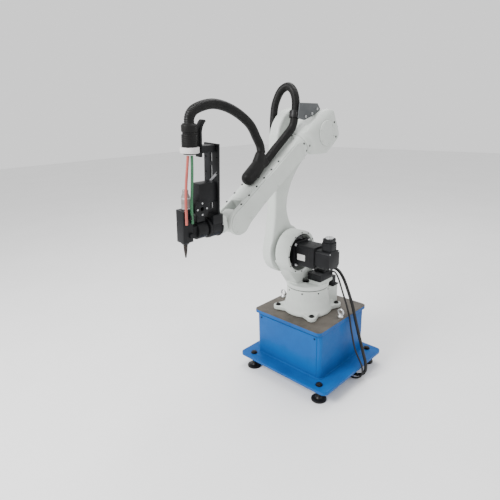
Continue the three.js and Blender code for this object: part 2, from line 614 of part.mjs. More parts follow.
function toolBracket(group) {
  const { x, half, middle, low, high, sheet, saddle: depth } = BRACKET;
  const web = block([x - sheet, middle - half, low], [x, middle + half, high]);
  const slots = [[272, 313], [124, 262], [74, 112]].map(([bottom, top]) => slabX(
    roundedRectangle(12, top - bottom, 5.9, middle, (bottom + top) / 2), x - 20, x + 10, 3,
  ));
  const saddle = block([x - depth, -half + 1, 20], [x + 34, half - 1, low]);
  const body = cut(join(web, saddle), ...slots);
  const round = rod(vec(600, 0, 0), vec(800, 0, 0), SENSOR.radius + 0.6, 32);
  const collar = rod(vec(600, 0, 0), vec(SENSOR.start + 8, 0, 0), 49, 32);
  piece(group, 'tool_bracket', cut(body, round, collar), BLACK_PAINT);
}

function torchArm(group) {
  const plate = block([BRACKET.x + GAP, -24, 112], [776, 24, 196]);
  const disc = rod(vec(766, -28, 94), vec(766, 28, 94), 37, 28);
  const link = block([744, -20, ADAPTER.radius + 0.6], [788, 20, 90]);
  const hole = rod(vec(766, -40, 94), vec(766, 40, 94), 9, 16);
  piece(group, 'torch_arm', cut(join(plate, disc, link), hole), BLACK_PAINT);
}

function torch(group) {
  const { x, half, low, high, tip } = TORCH;
  const box = slabZ(roundedRectangle(2 * half, 2 * half, 5, x, 0), low, high, 3);
  const chin = turned([[0, -14], [11, -14], [24, 0], [24, 4], [0, 4]], vec(x, 0, low), vec(0, 0, 1), 20);
  piece(group, 'torch_body', join(box, chin), BLACK_PAINT);
  const nozzle = turned(
    [[0, tip], [3, tip], [7, tip + 28], [9.5, low - 14 - GAP], [0, low - 14 - GAP]],
    vec(x, 0, 0), vec(0, 0, 1), 16,
  );
  piece(group, 'torch_nozzle', nozzle, COPPER);
  const barrel = turned(
    [[0, high + GAP], [18, high + GAP], [18, high + 52], [12, high + 66], [12, high + 80], [0, high + 80]],
    vec(x - 8, 0, 0), vec(0, 0, 1), 20,
  );
  piece(group, 'torch_barrel', barrel, BARREL_GREY);
}

function hoseSupport(group) {
  const { x, radius, low, high } = CONNECTOR;
  const reach = x - radius - 10;
  const arm = block([BRACKET.x + GAP, -22, 316], [reach, 22, 344]);
  const hook = new THREE.Shape();
  hook.moveTo(reach - 9, 300);
  hook.lineTo(reach, 300);
  hook.lineTo(reach, 396);
  hook.quadraticCurveTo(reach - 2, 426, reach - 24, 442);
  hook.lineTo(reach - 30, 436);
  hook.quadraticCurveTo(reach - 12, 422, reach - 9, 396);
  piece(group, 'hose_support', join(arm, slabY(hook, -16, 16)), BLACK_PAINT);
  const connector = turned(
    [[0, low - 4], [26, low - 4], [26, low], [30.5, low], [30.5, low + 66], [27, low + 70],
      [27, low + 78], [radius, low + 82], [radius, high - 8], [24, high], [0, high]],
    vec(x, 0, 0), vec(0, 0, 1), 20,
  );
  piece(group, 'hose_connector', connector, RUBBER);
  const strap = cut(
    rod(vec(x, 0, low + 2), vec(x, 0, low + 24), radius + 7, 28),
    rod(vec(x, 0, low), vec(x, 0, low + 26), radius + 0.4, 28),
  );
  piece(group, 'hose_strap', strap, CLAMP_GREY);
}

function gasHoses(group) {
  const bottom = CONNECTOR.low - 8;
  const red = tube([[814, 6, bottom], [822, 10, 270], [838, 20, 200], [850, 31, 130], [851, 33, 70],
    [850, 31.5, 44]], 5.5, 16, 8);
  piece(group, 'red_gas_hose', red, RED);
  const green = tube([[800, 12, bottom], [803, 16, 270], [812, 24, 200], [822, 31, 130], [823, 33, 70],
    [820, 31.5, 44]], 5.5, 16, 8);
  piece(group, 'green_gas_hose', green, GREEN);
}

// ---- Dress hose, held all the way along the arm -----------------------------------------------------

const HOSE_FRONT = [[800, 31, 1457], [797, 31, 1470], [781, 29, 1490], [748, 26, 1505],
  [660, 16, 1518], [545, 6, 1492], [438, 0, 1428], [399, 0, 1370], [379, 1, 1336], [376, 2, 1315]];
const HOSE_REAR = [[343, 8, 1267], [276, 2, 1312], [200, 0, 1364], [140, 0, 1414], [126, 0, 1465],
  [110, -6, 1524], [100, -28, 1574], [84, -76, 1600], [84, -120, 1584], [88, -156, 1524],
  [84, -174, 1451], [HOSE_RUN, HOSE_LINE, 1342], [HOSE_RUN, HOSE_LINE, 1120], [HOSE_RUN, HOSE_LINE, 1000],
  [62, HOSE_LINE, 900], [0, HOSE_LINE, 820], [-52, -168, 746], [-74, -116, 696], [-68, -58, 682],
  [-48, -56, 682]];

function dressHose(group) {
  piece(group, 'dress_hose_front', tube(HOSE_FRONT, HOSE, 14), RUBBER);
  piece(group, 'dress_hose_rear', tube(HOSE_REAR, HOSE, 40), RUBBER);
}

// ---- Cables to the cabinet, lying free ---------------------------------------------------------------

const UNDER = 66; // bend radius of a cable round the edge of the base plate
const POWER_ROUTE = [[-162, 6, 553], [-162, 9, 576], [-160, 50, 598], [-148, 104, 600], [-126, 156, 572],
  [-106, 206, 506], [-98, 242, 432], [-98, 260, 370], [-100, 286, 280], [-94, 326, 170], [-90, 350, 100]];
const SIGNAL_ROUTE = [[-162, 48, 552], [-162, 51, 567], [-142, 88, 584], [-106, 136, 572], [-76, 186, 512],
  [-60, 228, 440], [-54, 252, 380], [-52, 266, 320], [-54, 300, 190], [-56, 346, 100]];

/** The turn from the plate's edge down to the floor and back under the plate. */
function turnUnder(x, radius) {
  const centre = PLATE.cy + PLATE.y / 2 + 22 - UNDER;
  return [0.35, 0.9, 1.45].map((angle) => [
    x, centre + UNDER * Math.cos(angle), radius + 1.6 + UNDER - UNDER * Math.sin(angle),
  ]);
}

function freeCables(group) {
  const floorPower = [[-100, 230, 10.6], [-134, 140, 10.6], [-200, 40, 10.6], [-280, -40, 10.6],
    [-350, -110, 10.6], [-392, -166, 10.6]];
  const power = [...POWER_ROUTE, ...turnUnder(-90, POWER_CABLE), ...floorPower];
  piece(group, 'power_cable_run', tube(power, POWER_CABLE, 44, 8), RUBBER);
  const floorSignal = [[-64, 220, 6.6], [-80, 120, 6.6], [-104, 0, 6.6], [-130, -120, 6.6],
    [-158, -220, 6.6], [-194, -300, 6.6]];
  const signal = [...SIGNAL_ROUTE, ...turnUnder(-56, SIGNAL_CABLE), ...floorSignal];
  piece(group, 'signal_cable_run', tube(signal, SIGNAL_CABLE, 48, 8), RUBBER);
  coilAndPlug(group, 'power', POWER_COIL, 26);
  coilAndPlug(group, 'signal', SIGNAL_COIL, 16);
}

function coilAndPlug(group, name, { x, y, inner, outer, height, plug }, thick) {
  const low = 0.6;
  const ring = turned(
    [[inner, low], [outer, low], [outer, height], [inner, height], [inner, low]],
    vec(x, y, 0), vec(0, 0, 1), 28,
  );
  piece(group, `${name}_cable_coil`, ring, RUBBER);
  const section = roundedRectangle(2 * thick, thick, 5, plug.y, height + GAP + thick / 2);
  piece(group, `${name}_cable_plug`, slabX(section, x - plug.half, x + plug.half, 2), BLACK_PAINT);
}

// ---- Assembly -----------------------------------------------------------------------------------

const robot = new THREE.Group();
levellingFeet(robot);
basePlate(robot);
pedestalBox(robot);
topPlate(robot);
liftingEyes(robot);
robotBase(robot);
baseBolts(robot);
baseConnections(robot);
j1Reducer(robot);
turretCasting(robot);
j1Motor(robot);
j2Drive(robot);
upperArm(robot);

const elbowFrame = new THREE.Group();
elbowFrame.position.set(ELBOW.x, 0, ELBOW.z);
elbowFrame.rotation.y = ELBOW_TILT;
robot.add(elbowFrame);
elbowHousing(elbowFrame);
hoseMount(elbowFrame);

const forearmFrame = new THREE.Group();
forearmFrame.position.set(
  ELBOW.x + FOREARM_RISE * Math.sin(FOREARM_TILT), 0, ELBOW.z + FOREARM_RISE * Math.cos(FOREARM_TILT),
);
forearmFrame.rotation.y = FOREARM_TILT;
robot.add(forearmFrame);
forearmPieces(forearmFrame);
hoseBoot(forearmFrame);
elbowHoseClamp(robot);
wristPieces(robot);

const toolFrame = new THREE.Group();
toolFrame.position.set(0, 0, WRIST.z);
toolFrame.rotation.x = TOOL_LEAN;
robot.add(toolFrame);
toolMounting(toolFrame);
toolBracket(toolFrame);
torchArm(toolFrame);
torch(toolFrame);
hoseSupport(toolFrame);
gasHoses(toolFrame);

dressHose(robot);
freeCables(robot);

export default robot;
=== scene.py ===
"""Articulated welding robot on a pedestal: materials, fine pieces, cables, camera and light.

Lengths are written in millimetres in the model's own frame (+Z up, +X the way the arm reaches)
and turned into metres when a mesh is made.
"""
import math

import bmesh
import bpy
from mathutils import Matrix, Vector


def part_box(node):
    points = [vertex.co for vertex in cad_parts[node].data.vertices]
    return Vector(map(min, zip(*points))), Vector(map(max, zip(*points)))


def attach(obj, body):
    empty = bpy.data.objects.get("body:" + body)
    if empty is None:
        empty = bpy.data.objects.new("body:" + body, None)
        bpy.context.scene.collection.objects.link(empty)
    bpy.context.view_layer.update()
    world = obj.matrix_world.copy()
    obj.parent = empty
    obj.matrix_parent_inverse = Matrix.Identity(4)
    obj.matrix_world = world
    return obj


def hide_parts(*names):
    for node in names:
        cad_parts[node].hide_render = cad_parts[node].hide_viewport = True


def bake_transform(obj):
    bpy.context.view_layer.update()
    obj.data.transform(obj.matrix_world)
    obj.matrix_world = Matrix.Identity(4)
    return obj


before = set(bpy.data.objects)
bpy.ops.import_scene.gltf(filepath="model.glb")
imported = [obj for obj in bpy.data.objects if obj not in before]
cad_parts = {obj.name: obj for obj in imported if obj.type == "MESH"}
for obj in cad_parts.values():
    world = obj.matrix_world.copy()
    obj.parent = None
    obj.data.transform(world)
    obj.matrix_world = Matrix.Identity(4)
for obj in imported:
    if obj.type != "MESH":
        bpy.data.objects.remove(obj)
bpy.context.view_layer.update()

MM = 0.001
UP = Vector((0, 0, 1))

# ---- Places taken from the model's driving dimensions ------------------------------------------

PLATE_TOP = 90
DECK = 381
BASE_TOP = 530
SHOULDER = Vector((96, 0, 754))
ELBOW = Vector((0, 0, 1342))
WRIST = Vector((576, 0, 1020))
FOREARM_RISE = 39
PIVOTS_APART = (WRIST - ELBOW).length
REACH = math.sqrt(PIVOTS_APART**2 - FOREARM_RISE**2)
TILT = math.atan2(ELBOW.z - WRIST.z, WRIST.x - ELBOW.x) + math.asin(FOREARM_RISE / PIVOTS_APART)
ELBOW_TILT = 0.46427
TOOL_LEAN = math.radians(-4)

MODEL_FRAME = Matrix.Identity(4)
ELBOW_FRAME = Matrix.Translation(ELBOW) @ Matrix.Rotation(ELBOW_TILT, 4, "Y")
FOREARM_FRAME = (
    Matrix.Translation(ELBOW) @ Matrix.Rotation(TILT, 4, "Y") @ Matrix.Translation((0, 0, FOREARM_RISE))
)
TOOL_FRAME = Matrix.Translation((0, 0, WRIST.z)) @ Matrix.Rotation(TOOL_LEAN, 4, "X")

# ---- Camera ------------------------------------------------------------------------------------

CAMERA_ANGLES = (134.938, 18.019, -1.71)
CAMERA_PLACE = (1.8199, 1.3536, 1.4764)
CAMERA_LENS = 30.17
SENSOR_WIDTH = 36


def add_camera():
    """A level-headed view from the front corner, a little above the shoulder."""
    azimuth, down, roll = (math.radians(angle) for angle in CAMERA_ANGLES)
    forward = Vector((
        -math.sin(azimuth) * math.cos(down), math.cos(azimuth) * math.cos(down), -math.sin(down),
    ))
    right = Vector((math.cos(azimuth), math.sin(azimuth), 0))
    up = right.cross(forward)
    turned_right = right * math.cos(roll) + up * math.sin(roll)
    turned_up = up * math.cos(roll) - right * math.sin(roll)
    data = bpy.data.cameras.new("camera")
    data.sensor_width = SENSOR_WIDTH
    data.lens = CAMERA_LENS
    camera = bpy.data.objects.new("camera", data)
    axes = Matrix((turned_right, turned_up, -forward)).transposed().to_4x4()
    camera.matrix_world = Matrix.Translation(CAMERA_PLACE) @ axes
    bpy.context.collection.objects.link(camera)
    bpy.context.scene.camera = camera


add_camera()

# ---- Materials ---------------------------------------------------------------------------------


def surface(
    name, color, second, rough, metal=0.0, patches=4.0, grain=260.0, bump=0.06, stretch=(1, 1, 1),
    coat=0.0, shine=0.3,
):
    """Two tones in soft patches, with a fine grain that varies the gloss and the relief."""
    made = bpy.data.materials.new(name)
    made.use_nodes = True
    nodes, links = made.node_tree.nodes, made.node_tree.links
    shader = nodes["Principled BSDF"]
    shader.inputs["Metallic"].default_value = metal
    shader.inputs["Coat Weight"].default_value = coat
    shader.inputs["Coat Roughness"].default_value = 0.2
    shader.inputs["Specular IOR Level"].default_value = shine
    place = nodes.new("ShaderNodeTexCoord")
    mapping = nodes.new("ShaderNodeMapping")
    mapping.inputs["Scale"].default_value = stretch
    links.new(place.outputs["Object"], mapping.inputs["Vector"])

    def noise(scale, detail):
        node = nodes.new("ShaderNodeTexNoise")
        node.inputs["Scale"].default_value = scale
        node.inputs["Detail"].default_value = detail
        node.inputs["Roughness"].default_value = 0.62
        links.new(mapping.outputs["Vector"], node.inputs["Vector"])
        return node.outputs["Fac"]

    tones = nodes.new("ShaderNodeValToRGB")
    tones.color_ramp.elements[0].position = 0.36
    tones.color_ramp.elements[0].color = (*color, 1)
    tones.color_ramp.elements[1].position = 0.72
    tones.color_ramp.elements[1].color = (*second, 1)
    links.new(noise(patches, 6), tones.inputs["Fac"])
    links.new(tones.outputs["Color"], shader.inputs["Base Color"])
    gloss = nodes.new("ShaderNodeMapRange")
    gloss.inputs["To Min"].default_value = max(rough - 0.1, 0.05)
    gloss.inputs["To Max"].default_value = min(rough + 0.12, 1.0)
    links.new(noise(patches * 6, 4), gloss.inputs["Value"])
    links.new(gloss.outputs["Result"], shader.inputs["Roughness"])
    relief = nodes.new("ShaderNodeBump")
    relief.inputs["Strength"].default_value = bump
    relief.inputs["Distance"].default_value = 0.001
    links.new(noise(grain, 3), relief.inputs["Height"])
    links.new(relief.outputs["Normal"], shader.inputs["Normal"])
    return made


WHITE = surface("white_paint", (0.53, 0.56, 0.53), (0.47, 0.50, 0.47), 0.42, patches=5, coat=0.1)
BLUE = surface("blue_paint", (0.002, 0.08, 0.29), (0.002, 0.058, 0.22), 0.5, patches=7, shine=0.18)
BARE_STEEL = surface(
    "bare_steel", (0.10, 0.088, 0.074), (0.055, 0.048, 0.041), 0.5, 0.3, patches=14, bump=0.12,
)
ZINC = surface("zinc", (0.62, 0.63, 0.64), (0.5, 0.5, 0.5), 0.34, 0.9, patches=30, bump=0.05)
BLACK_STEEL = surface("black_oxide", (0.008, 0.008, 0.009), (0.02, 0.019, 0.018), 0.42, 0.4, patches=25)
BLACK_PAINT = surface(
    "black_paint", (0.006, 0.0062, 0.007), (0.011, 0.0115, 0.013), 0.42, patches=12, shine=0.16,
)
GREY_PAINT = surface("grey_paint", (0.055, 0.06, 0.063), (0.085, 0.09, 0.094), 0.45, patches=9)
RUBBER = surface(
    "rubber", (0.0045, 0.0045, 0.0045), (0.010, 0.0097, 0.0093), 0.42, patches=18, bump=0.1, shine=0.16,
)
CABLE_SKIN = surface("cable_skin", (0.006, 0.006, 0.006), (0.012, 0.0115, 0.011), 0.5, patches=12)
IRON = surface("machined_iron", (0.3, 0.3, 0.31), (0.2, 0.2, 0.21), 0.42, 0.85, patches=20, bump=0.1)
PALE_PLASTIC = surface("pale_plastic", (0.62, 0.60, 0.60), (0.5, 0.48, 0.48), 0.45, patches=20)
ANODISED = surface(
    "anodised", (0.36, 0.32, 0.31), (0.27, 0.24, 0.23), 0.32, 0.75, patches=16, stretch=(1, 1, 5),
)
HOT_METAL = surface("hot_metal", (0.05, 0.043, 0.038), (0.02, 0.018, 0.018), 0.36, 0.8, patches=40, bump=0.1)
RED = surface("red_plastic", (0.42, 0.10, 0.08), (0.33, 0.07, 0.06), 0.35, patches=15)
GREEN = surface("green_plastic", (0.045, 0.15, 0.075), (0.03, 0.11, 0.05), 0.35, patches=15)
LABEL = surface("label", (0.66, 0.66, 0.64), (0.58, 0.58, 0.56), 0.4, patches=10, bump=0.02)

# ---- Mesh helpers ------------------------------------------------------------------------------


def finish_object(name, mesh, material, body, replaced=(), angle=38):
    """A shaded object of one material that rides on a body, if one is given."""
    mesh.shade_smooth()
    mesh.set_sharp_from_angle(angle=math.radians(angle))
    obj = bpy.data.objects.new(name, mesh)
    bpy.context.collection.objects.link(obj)
    mesh.materials.clear()
    mesh.materials.append(material)
    if body:
        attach(obj, body)
    if replaced:
        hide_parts(*replaced)
    return obj


def circle(centre, u, v, radius, sides, first=0.0):
    """Points evenly round a circle in the plane of two unit directions."""
    angles = (first + 2 * math.pi * i / sides for i in range(sides))
    return [centre + u * radius * math.cos(a) + v * radius * math.sin(a) for a in angles]


def across(axis):
    """Two unit directions at right angles to an axis and to each other."""
    first = axis.orthogonal().normalized()
    return first, axis.cross(first).normalized()


class Piece:
    """A mesh put together in millimetres, in one of the arm's frames."""

    def __init__(self, name, material, body, place=MODEL_FRAME):
        self.name, self.material, self.body, self.place = name, material, body, place
        self.mesh = bmesh.new()

    def loft(self, rings):
        """Joins rings of points; a ring of one point closes an end."""
        made = [[self.mesh.verts.new(self.place @ Vector(p)) for p in ring] for ring in rings]
        for low, high in zip(made, made[1:]):
            count = max(len(low), len(high))
            for i in range(count):
                j = (i + 1) % count
                if len(low) == 1:
                    corners = (low[0], high[j], high[i])
                elif len(high) == 1:
                    corners = (low[i], low[j], high[0])
                else:
                    corners = (low[i], low[j], high[j], high[i])
                self.mesh.faces.new(corners)
        for ring in (made[0], made[-1]):
            if len(ring) > 2:
                self.mesh.faces.new(ring)
        return self

    def turned(self, profile, start, axis, sides=28):
        """A lathe shape: the profile lists (radius, distance along the axis)."""
        start, axis = Vector(start), Vector(axis).normalized()
        u, v = across(axis)
        rings = []
        for radius, along in profile:
            centre = start + axis * along
            if radius < 1e-6:
                rings.append([centre])
                continue
            rings.append(circle(centre, u, v, radius, sides))
        return self.loft(rings)

    def ring(self, start, axis, inner, outer, length, sides=32):
        """A washer or tube with an open middle."""
        start, axis = Vector(start), Vector(axis).normalized()
        u, v = across(axis)
        loops = []
        for radius, along in ((inner, 0), (outer, 0), (outer, length), (inner, length)):
            points = circle(start + axis * along, u, v, radius, sides)
            loops.append([self.mesh.verts.new(self.place @ p) for p in points])
        for low, high in zip(loops, loops[1:] + loops[:1]):
            for i in range(sides):
                j = (i + 1) % sides
                self.mesh.faces.new((low[i], low[j], high[j], high[i]))
        return self

    def slab(self, outline, low, high, axis="Y"):
        """An outline in the other two axes, between two values along an axis."""
        order = {
            "X": lambda a, b, c: (c, a, b),
            "Y": lambda a, b, c: (a, c, b),
            "Z": lambda a, b, c: (a, b, c),
        }[axis]
        return self.loft([[order(a, b, c) for a, b in outline] for c in (low, high)])

    def sweep(self, path, radii, sides=12):
        """A tube along close points; radii is one radius or one for each point."""
        radii = radii if isinstance(radii, list) else [radii] * len(path)
        return self.loft(tube_rings(path, radii, sides))

    def done(self, bevel=0.0, segments=2, replaced=(), angle=38):
        """The finished object, in metres, with its sharp edges rounded."""
        for vert in self.mesh.verts:
            vert.co *= MM
        bmesh.ops.recalc_face_normals(self.mesh, faces=self.mesh.faces)
        if bevel:
            sharp = [e for e in self.mesh.edges if e.is_manifold and e.calc_face_angle() > math.radians(45)]
            bmesh.ops.bevel(
                self.mesh, geom=sharp, offset=bevel * MM, segments=segments, profile=0.6,
                affect="EDGES", clamp_overlap=True,
            )
        mesh = bpy.data.meshes.new(self.name)
        self.mesh.to_mesh(mesh)
        self.mesh.free()
        return finish_object(self.name, mesh, self.material, self.body, replaced, angle)


def tube_rings(path, radii, sides):
    """Rings of points round a path, turned as little as possible from one to the next."""
    path = [Vector(p) for p in path]
    steps = [(b - a).normalized() for a, b in zip(path, path[1:])]
    tangents = [steps[0]] + [(a + b).normalized() for a, b in zip(steps, steps[1:])] + [steps[-1]]
    side = across(tangents[0])[0]
    rings = []
    for point, tangent, radius in zip(path, tangents, radii):
        side = (side - tangent * side.dot(tangent)).normalized()
        rings.append(circle(point, side, tangent.cross(side), radius, sides))
    return rings


def smooth_path(points, step):
    """A centripetal Catmull-Rom curve through points, as points a step apart."""
    points = [Vector(p) for p in points]
    ends = [2 * points[0] - points[1], *points, 2 * points[-1] - points[-2]]
    fine, parts = [], 16
    for p0, p1, p2, p3 in zip(ends, ends[1:], ends[2:], ends[3:]):
        knots = [0.0]
        for a, b in ((p0, p1), (p1, p2), (p2, p3)):
            knots.append(knots[-1] + math.sqrt((b - a).length))
        t0, t1, t2, t3 = knots
        for i in range(parts):
            t = t1 + (t2 - t1) * i / parts
            a1 = p0 * ((t1 - t) / (t1 - t0)) + p1 * ((t - t0) / (t1 - t0))
            a2 = p1 * ((t2 - t) / (t2 - t1)) + p2 * ((t - t1) / (t2 - t1))
            a3 = p2 * ((t3 - t) / (t3 - t2)) + p3 * ((t - t2) / (t3 - t2))
            b1 = a1 * ((t2 - t) / (t2 - t0)) + a2 * ((t - t0) / (t2 - t0))
            b2 = a2 * ((t3 - t) / (t3 - t1)) + a3 * ((t - t1) / (t3 - t1))
            fine.append(b1 * ((t2 - t) / (t2 - t1)) + b2 * ((t - t1) / (t2 - t1)))
    fine.append(points[-1])
    return spaced(fine, step)


def spaced(fine, step):
    """The same line with its points an even distance apart."""
    total = sum((b - a).length for a, b in zip(fine, fine[1:]))
    count = max(2, round(total / step))
    gap = total / count
    out, walked, wanted = [fine[0].copy()], 0.0, gap
    for a, b in zip(fine, fine[1:]):
        length = (b - a).length
        while wanted <= walked + length + 1e-9 and len(out) < count:
            out.append(a.lerp(b, (wanted - walked) / length))
            wanted += gap
        walked += length
    return out + [fine[-1].copy()]


def rounded(width, height, corner, cx=0.0, cy=0.0, steps=5):
    """Corner points of a rectangle with round corners."""
    out = []
    for k, (sx, sy) in enumerate(((1, 1), (-1, 1), (-1, -1), (1, -1))):
        x, y = cx + sx * (width / 2 - corner), cy + sy * (height / 2 - corner)
        for i in range(steps + 1):
            a = math.pi / 2 * (k + i / steps)
            out.append((x + corner * math.cos(a), y + corner * math.sin(a)))
    return out


# ---- Cables to the cabinet: they lie free, and the unseen length is coiled behind ---------------

POWER_ROUTE = [
    (-162, 6, 553), (-162, 9, 576), (-160, 50, 598), (-148, 104, 600), (-126, 156, 572), (-106, 206, 506),
    (-98, 242, 432), (-98, 260, 370), (-100, 286, 280), (-94, 326, 170), (-90, 350, 100),
]
POWER_FLOOR = [
    (-100, 230, 10.6), (-134, 140, 10.6), (-200, 40, 10.6), (-280, -40, 10.6), (-350, -110, 10.6),
    (-392, -166, 10.6), (-436, -181, 10),
]
SIGNAL_ROUTE = [
    (-162, 48, 552), (-162, 51, 567), (-142, 88, 584), (-106, 136, 572), (-76, 186, 512), (-60, 228, 440),
    (-54, 252, 380), (-52, 266, 320), (-54, 300, 190), (-56, 346, 100),
]
SIGNAL_FLOOR = [
    (-64, 220, 6.6), (-80, 120, 6.6), (-104, 0, 6.6), (-130, -120, 6.6), (-158, -220, 6.6), (-194, -300, 6.6),
    (-188, -334, 6),
]


def turn_under(x, radius):
    """The turn from the edge of the base plate down to the floor and back under the plate."""
    bend, centre = 66, 286
    return [
        (x, centre + bend * math.cos(a), radius + 1.6 + bend - bend * math.sin(a)) for a in (0.35, 0.9, 1.45)
    ]


def coil(centre, thick, columns, layers, start, way, travel):
    """A wound coil: each layer steps from column to column, then climbs to the next layer.

    start and travel are the first angle and the angle wound, in degrees; way is +1 or -1, the turning
    sense. Each shift takes the angle in climb.
    """
    climb, every = 72, 12
    radius, height = columns[0], thick / 2 + 0.6
    moves, next_shift, step = [], 360 - climb, columns[1] - columns[0]
    for layer in range(layers):
        for _ in columns[1:]:
            moves.append((next_shift, step, 0))
            next_shift += 360
        moves.append((next_shift - climb, 0, thick))
        next_shift += 360 - 2 * climb
        step = -step
    out = []
    for angle in range(0, travel + 1, every):
        r, z = radius, height
        for begins, across_by, up_by in moves:
            share = min(max((angle - begins) / climb, 0), 1)
            share = share * share * (3 - 2 * share)
            r += across_by * share
            z += up_by * share
        a = math.radians(start + way * angle)
        out.append((centre[0] + r * math.cos(a), centre[1] + r * math.sin(a), z))
    return out


def free_cord(name, points, diameter, replaced):
    """A cord on a smooth curve through its points, in place of the CAD pieces that it hides."""
    path = smooth_path(points, 9)
    data = bpy.data.curves.new(name, "CURVE")
    data.dimensions = "3D"
    data.bevel_depth = diameter / 2 * MM
    data.bevel_resolution = 4
    data.use_fill_caps = True
    spline = data.splines.new("POLY")
    spline.points.add(len(path) - 1)
    for point, place in zip(spline.points, path):
        point.co = (*(place * MM), 1)
    data.materials.append(CABLE_SKIN)
    obj = bpy.data.objects.new(name, data)
    bpy.context.collection.objects.link(obj)
    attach(obj, "pedestal")
    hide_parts(*replaced)


def cable_plug(name, x, y, z, half, thick):
    """A hooded industrial plug with its gland nut, lying on its side."""
    made = Piece(f"{name}_plug_hood", BLACK_PAINT, "pedestal")
    made.slab(rounded(2 * thick, thick, 4, y, z), x - half, x + half * 0.5, "X")
    made.turned([(thick * 0.42, 0), (thick * 0.42, half * 0.28), (thick * 0.34, half * 0.34)],
                (x + half * 0.5, y, z), (1, 0, 0), 20)
    made.turned([(thick * 0.38, 0), (thick * 0.38, half * 0.13), (thick * 0.28, half * 0.16)],
                (x + half * 0.84, y, z), (1, 0, 0), 6)
    return made.done(0.8, replaced=(f"{name}_cable_plug",))


def add_cables():
    plug = cable_plug("power", -452, -201, 50.3, 45, 26)
    wound = coil((-452, -300), 18, (117, 99, 81), 2, 104, 1, 2072)
    lead = [(-374, -212, 45), (-396, -203, 50), (-408, -201, 50.3)]
    free_cord("power_cable", [*POWER_ROUTE, *turn_under(-90, 9), *POWER_FLOOR, *wound, *lead], 18,
              ("power_cable_run", "power_cable_coil"))
    plug = cable_plug("signal", -250, -421, 49.3, 32, 16)
    wound = coil((-250, -366), 10, (65, 55, 45), 4, -8, -1, 3624)
    lead = [(-206, -415, 43), (-214, -420, 48), (-219, -421, 49.3)]
    free_cord("signal_cable", [*SIGNAL_ROUTE, *turn_under(-56, 5), *SIGNAL_FLOOR, *wound, *lead], 10,
              ("signal_cable_run", "signal_cable_coil"))


add_cables()

# ---- Hoses along the arm -----------------------------------------------------------------------

HOSE_RADIUS = 20.5
RIB_PITCH = 7
HOSE_FRONT = [
    (801, 31, 1436), (797, 31, 1470), (781, 29, 1490), (748, 26, 1505), (660, 16, 1518), (545, 6, 1492),
    (438, 0, 1428), (399, 0, 1370), (379, 1, 1336), (374, 3, 1300),
]
HOSE_REAR = [
    (352, 7, 1259), (276, 2, 1312), (200, 0, 1364), (140, 0, 1414), (126, 0, 1465), (110, -6, 1524),
    (100, -28, 1574), (84, -76, 1600), (84, -120, 1584), (88, -156, 1524), (84, -174, 1451),
    (76, -184, 1342), (76, -184, 1120), (76, -184, 1000), (62, -184, 900), (0, -184, 820),
    (-52, -168, 746), (-74, -116, 696), (-68, -58, 682), (-48, -56, 682),
]


def ribbed_hose(route, parts):
    """A corrugated hose, cut into parts that each lie across one joint; no part rides on a body.

    Each part lists its name, the share of the route where it ends, the two bodies and the two points
    where it would pass from one body to the other, which are not used, and the CAD nodes that it replaces.
    """
    path = smooth_path(route, RIB_PITCH / 4)
    radii = [HOSE_RADIUS - (1.5 if i % 4 in (0, 1) else 0.1) for i in range(len(path))]
    first = 0
    for name, share, bodies, span, replaced in parts:
        last = round(share * (len(path) - 1))
        made = Piece(name, RUBBER, None)
        made.sweep(path[first : last + 1], radii[first : last + 1], 20)
        obj = made.done(replaced=replaced, angle=75)
        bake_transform(obj)
        first = last


def add_hoses():
    ribbed_hose(HOSE_FRONT, [
        ("dress_hose_tool_end", 0.32, ("tool", "wrist"), ((792, 30, 1500), (672, 16, 1516)),
         ("dress_hose_front",)),
        ("dress_hose_wrist_loop", 1.0, ("wrist", "forearm"), ((640, 14, 1500), (392, 0, 1350)), ()),
    ])
    ribbed_hose(HOSE_REAR, [
        ("dress_hose_forearm_lead", 0.14, ("forearm", "elbow"), ((332, 6, 1275), (200, 0, 1364)),
         ("dress_hose_rear",)),
        ("dress_hose_elbow_loop", 0.42, ("elbow", "upper_arm"), ((105, -8, 1560), (88, -150, 1560)), ()),
        ("dress_hose_arm_run", 1.0, ("upper_arm", "turret"), ((70, -180, 950), (-60, -100, 700)), ()),
    ])


add_hoses()

# ---- Skins of the CAD pieces -------------------------------------------------------------------


def evaluated_copy(obj, name):
    """The object's mesh with its modifiers applied, as a mesh of its own."""
    bpy.context.view_layer.update()
    graph = bpy.context.evaluated_depsgraph_get()
    mesh = bpy.data.meshes.new_from_object(obj.evaluated_get(graph))
    mesh.name = name
    data = obj.data
    bpy.data.objects.remove(obj)
    bpy.data.meshes.remove(data)
    return mesh


def casting(node, material, body, voxel=3.2, rounds=9):
    """A CAD piece with every edge softened, as a sand casting has."""
    rough = bpy.data.objects.new("rough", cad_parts[node].data.copy())
    bpy.context.collection.objects.link(rough)
    remesh = rough.modifiers.new("remesh", "REMESH")
    remesh.mode = "VOXEL"
    remesh.voxel_size = voxel * MM
    soften = rough.modifiers.new("soften", "SMOOTH")
    soften.factor = 0.5
    soften.iterations = rounds
    thin = rough.modifiers.new("thin", "DECIMATE")
    thin.ratio = 0.35
    mesh = evaluated_copy(rough, f"{node}_skin")
    return finish_object(f"{node}_skin", mesh, material, body, (node,), 60)


